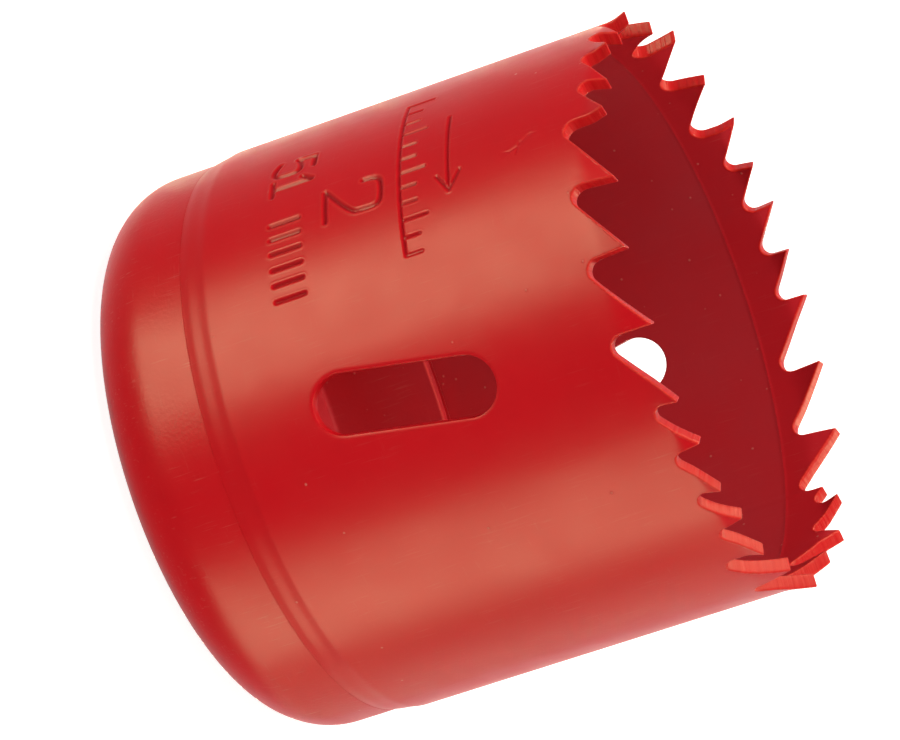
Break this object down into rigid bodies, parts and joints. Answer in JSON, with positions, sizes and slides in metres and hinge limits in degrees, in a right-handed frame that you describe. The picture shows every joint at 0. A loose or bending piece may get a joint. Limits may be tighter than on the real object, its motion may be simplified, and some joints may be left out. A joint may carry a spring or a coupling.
{
  "type": "hole saw",
  "caption": "Cup-shaped hole saw: toothed rim welded on a slotted tube, closed by a round-cornered cap with a threaded arbor hole and drive-pin holes.",
  "frame": {"origin": "centre of the cap's flat back face, on the saw's axis, at the lowest point", "axes": "+Z along the axis from the cap to the teeth, +X through the first slot; the saw cuts turning from +X to +Y"},
  "size_m": [0.0505, 0.0508, 0.049],
  "materials": {
    "edge_enamel": "satin",
    "body_enamel": "satin",
    "cap_enamel": "satin"
  },
  "bodies": {
    "root": {"tooth_edge": "edge_enamel", "saw_body": "body_enamel", "end_cap": "cap_enamel"}
  },
  "joints": []
}
